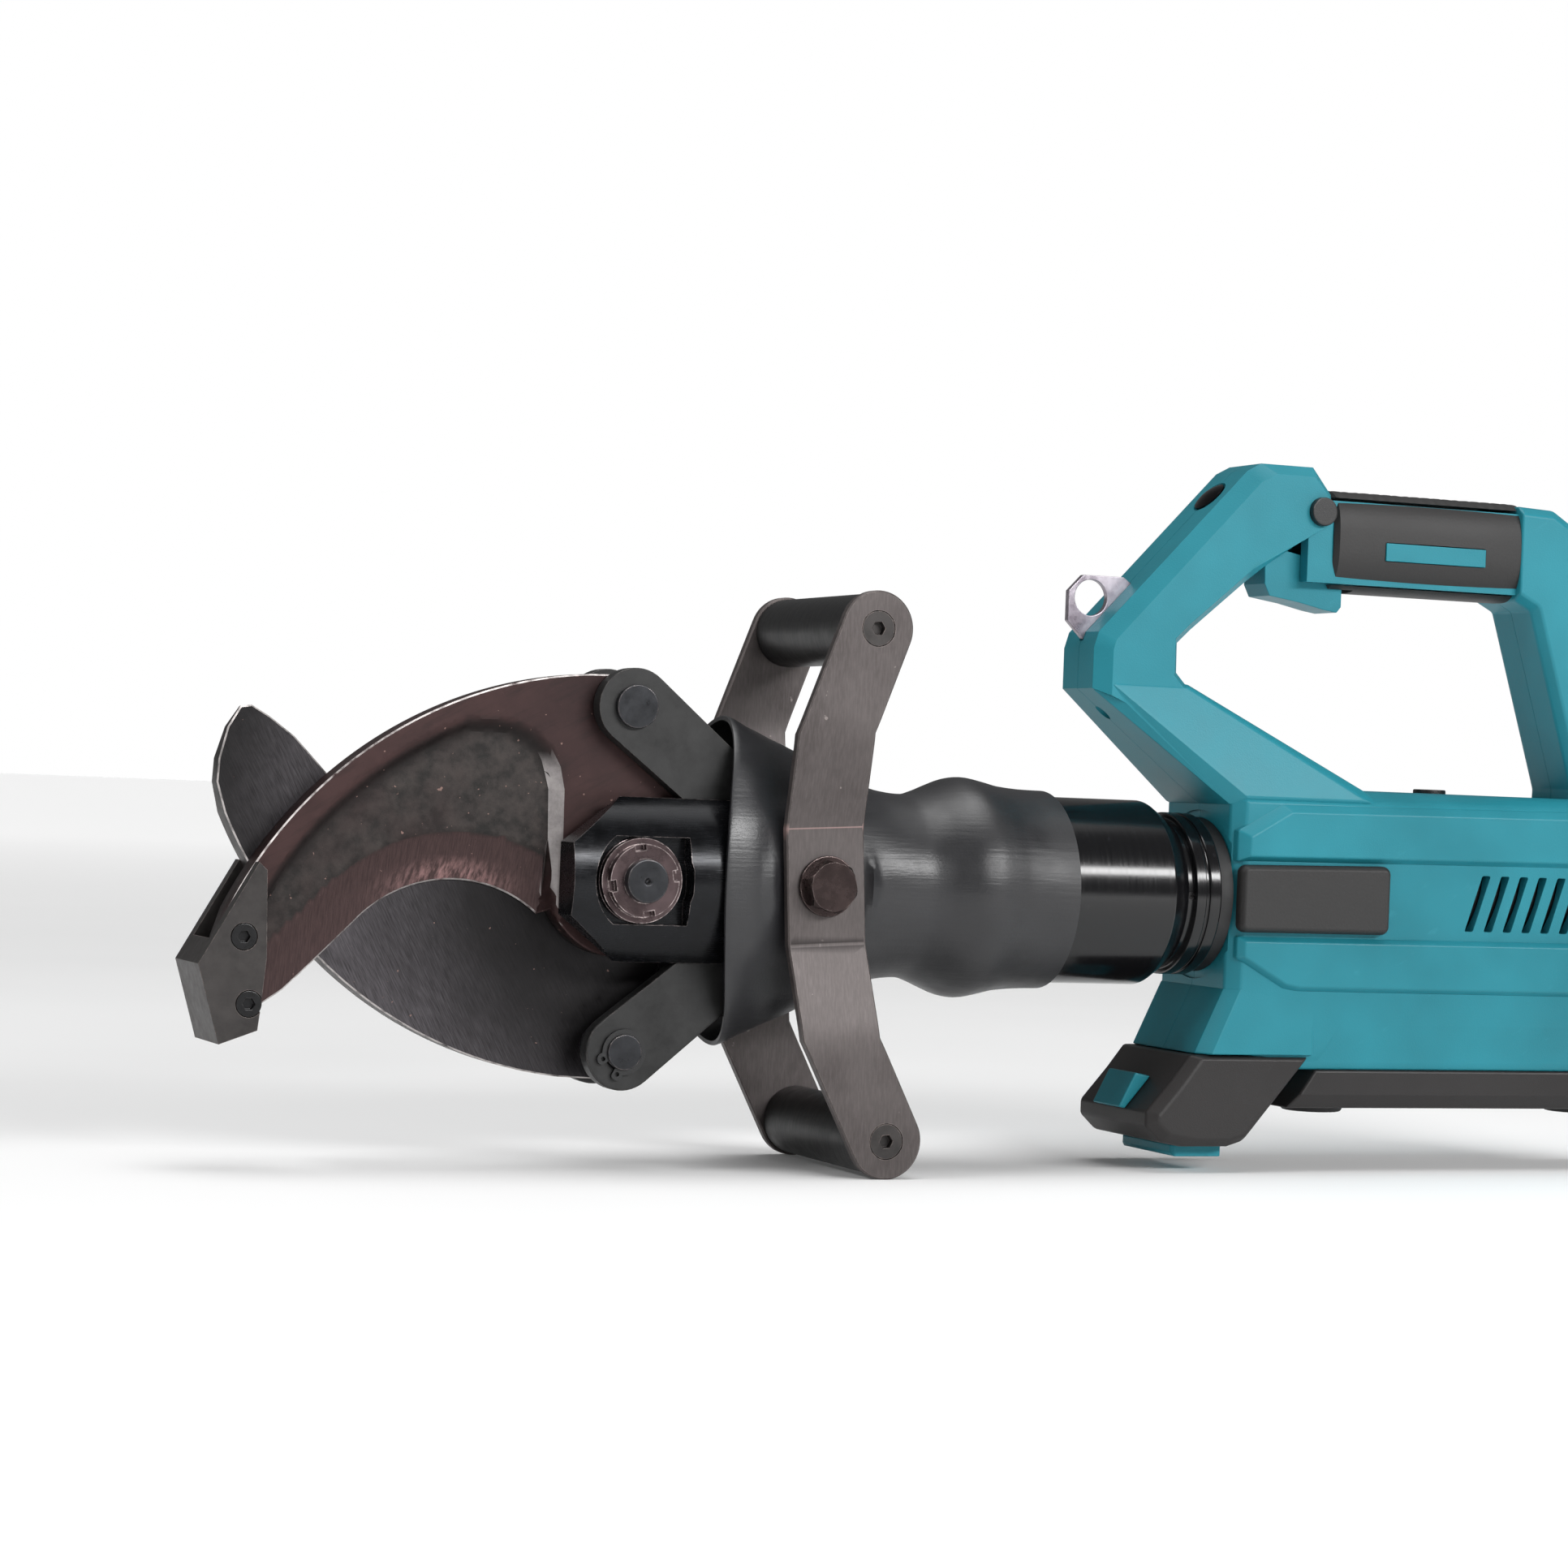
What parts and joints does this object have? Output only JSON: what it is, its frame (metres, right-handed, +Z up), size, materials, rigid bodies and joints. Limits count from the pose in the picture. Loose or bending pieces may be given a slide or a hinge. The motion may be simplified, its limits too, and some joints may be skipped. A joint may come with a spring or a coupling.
{
  "type": "cordless hydraulic cable cutter",
  "caption": "Battery hydraulic cable cutter: crossed crescent jaws on toggle links, forked head with rubber boot, two-bar guard and a D-handle housing.",
  "frame": {"origin": "middle of the footprint's box, on the plane under the lower guard bar", "axes": "+X back along the ram axis from the jaws to the housing, +Y to the tool's right-hand side seen from behind the jaws, +Z up towards the D-handle"},
  "size_m": [0.6648, 0.0976, 0.2966],
  "materials": {
    "jaw_brown": "heat-tinted ground tool steel, worn bright at the edges",
    "jaw_grey": "ground tool steel with diagonal grinding lines",
    "guide_steel": "black-oxide steel, satin",
    "link_steel": "black-oxide steel, satin",
    "pin_steel": "turned steel, dark",
    "black_oxide": "black-oxide steel with a satin sheen",
    "nut_steel": "turned steel, slightly oxidised",
    "bright_steel": "ground and chromed",
    "inner_steel": "machined",
    "seal_rubber": "moulded rubber",
    "spring_steel": "drawn wire",
    "gloss_black": "gloss black",
    "boot_rubber": "matt dark grey rubber",
    "guard_steel": "warm grey phosphated steel",
    "bar_black": "black powder coat",
    "bolt_steel": "brown phosphated steel",
    "screw_black": "black zinc",
    "teal_plastic": "fine-textured glass-filled nylon",
    "grip_rubber": "soft overmould",
    "dark_plastic": "fine-textured dark grey plastic",
    "button_plastic": "black plastic",
    "lens_black": "gloss smoked lens",
    "zinc_plate": "zinc-plated sheet",
    "cast_alloy": "die cast",
    "motor_metal": "painted can",
    "rotor_metal": "laminations and fan",
    "board_green": "coated circuit board"
  },
  "bodies": {
    "housing": {"housing_near": "teal_plastic", "housing_far": "teal_plastic", "housing_screws": "screw_black", "swivel_seal": "seal_rubber", "swivel_retainer": "inner_steel", "grip_sleeve": "grip_rubber", "grip_inlays": "teal_plastic", "lamp_lens": "lens_black", "strap_ring": "zinc_plate", "side_pads": "grip_rubber", "bottom_cover": "dark_plastic", "feet": "seal_rubber", "pump_block": "cast_alloy", "gearbox": "cast_alloy", "motor_can": "motor_metal", "oil_bladder": "seal_rubber", "trigger_switch": "button_plastic", "control_board": "board_green"},
    "head": {"yoke": "black_oxide", "pivot_pin": "pin_steel", "pivot_nut": "nut_steel", "pivot_washer": "nut_steel", "pivot_spacers": "link_steel", "return_spring": "spring_steel", "gland_seal": "seal_rubber", "ram_cylinder": "gloss_black", "lock_screw": "screw_black", "rubber_boot": "boot_rubber", "guard_plate_near": "guard_steel", "guard_plate_far": "guard_steel", "grip_bars": "bar_black", "grip_screws": "screw_black", "guard_bolts": "bolt_steel", "guard_washers": "bolt_steel", "guard_bushes": "inner_steel"},
    "upper_jaw": {"upper_jaw": "jaw_brown", "blade_guide": "guide_steel", "guide_screws": "screw_black", "upper_link_pin": "pin_steel", "upper_circlip": "screw_black", "upper_pin_spacer": "pin_steel"},
    "lower_jaw": {"lower_jaw": "jaw_grey", "lower_link_pin": "pin_steel", "lower_circlip": "screw_black", "lower_pin_spacer": "pin_steel"},
    "upper_link": {"upper_links": "link_steel"},
    "lower_link": {"lower_links": "link_steel"},
    "ram": {"crosshead": "inner_steel", "crosshead_pins": "bright_steel", "piston_rod": "bright_steel", "piston": "inner_steel", "piston_seal": "seal_rubber"},
    "trigger": {"trigger": "teal_plastic"},
    "lock_off": {"lock_off_button": "button_plastic"},
    "release": {"release_button": "button_plastic"},
    "battery": {"battery_case": "dark_plastic", "battery_foot": "teal_plastic"},
    "latch": {"battery_latch": "teal_plastic"},
    "rotor": {"rotor": "rotor_metal"},
    "pump_drive": {"pump_shaft": "inner_steel"}
  },
  "joints": [
    {"name": "head_swivel", "type": "hinge", "parent": "housing", "child": "head", "pos_m": [0.0974, 0, 0.11464], "axis": [1, 0, 0], "range_deg": [-175, 175]},
    {"name": "jaw_open", "type": "hinge", "parent": "head", "child": "upper_jaw", "pos_m": [-0.1626, 0, 0.11464], "axis": [0, 1, 0], "range_deg": [0, 40]},
    {"name": "lower_jaw_open", "type": "hinge", "parent": "head", "child": "lower_jaw", "pos_m": [-0.1626, 0, 0.11464], "axis": [0, 1, 0], "range_deg": [-40, 0]},
    {"name": "upper_link_turn", "type": "hinge", "parent": "upper_jaw", "child": "upper_link", "pos_m": [-0.1626, 0, 0.18215], "axis": [0, 1, 0], "range_deg": [-52.1, 0]},
    {"name": "lower_link_turn", "type": "hinge", "parent": "lower_jaw", "child": "lower_link", "pos_m": [-0.1626, 0, 0.04714], "axis": [0, 1, 0], "range_deg": [0, 52.1]},
    {"name": "ram_travel", "type": "slide", "parent": "head", "child": "ram", "axis": [1, 0, 0], "range_m": [0, 0.05354], "deforming": ["return_spring", "rubber_boot"]},
    {"name": "trigger_pull", "type": "hinge", "parent": "housing", "child": "trigger", "pos_m": [0.1254, 0, 0.26465], "axis": [0, -1, 0], "range_deg": [0, 8], "stiffness_Nm_per_rad": 0.8, "springref_deg": -14.32},
    {"name": "lock_off_push", "type": "slide", "parent": "housing", "child": "lock_off", "axis": [0, 1, 0], "range_m": [0, 0.0035], "stiffness_N_per_m": 300, "springref_m": -0.002},
    {"name": "release_press", "type": "slide", "parent": "housing", "child": "release", "axis": [0, 0, -1], "range_m": [0, 0.0028], "stiffness_N_per_m": 400, "springref_m": -0.002},
    {"name": "battery_slide", "type": "slide", "parent": "housing", "child": "battery", "axis": [-1, 0, 0], "range_m": [0, 0.08]},
    {"name": "latch_press", "type": "slide", "parent": "battery", "child": "latch", "axis": [-0.6484, 0, -0.7613], "range_m": [0, 0.003], "stiffness_N_per_m": 400, "springref_m": -0.002},
    {"name": "motor_spin", "type": "hinge", "parent": "housing", "child": "rotor", "pos_m": [0.2424, 0, 0.11464], "axis": [1, 0, 0], "continuous": true},
    {"name": "pump_spin", "type": "hinge", "parent": "housing", "child": "pump_drive", "pos_m": [0.1624, 0, 0.11464], "axis": [1, 0, 0], "continuous": true}
  ],
  "couplings": [
    {"joint": "lower_jaw_open", "follows": "jaw_open", "ratio": -1},
    {"joint": "upper_link_turn", "follows": "jaw_open", "ratio": -1.29},
    {"joint": "lower_link_turn", "follows": "jaw_open", "ratio": 1.29},
    {"joint": "ram_travel", "follows": "jaw_open", "m_per_rad": 0.0764},
    {"joint": "pump_spin", "follows": "motor_spin", "ratio": 0.2}
  ]
}
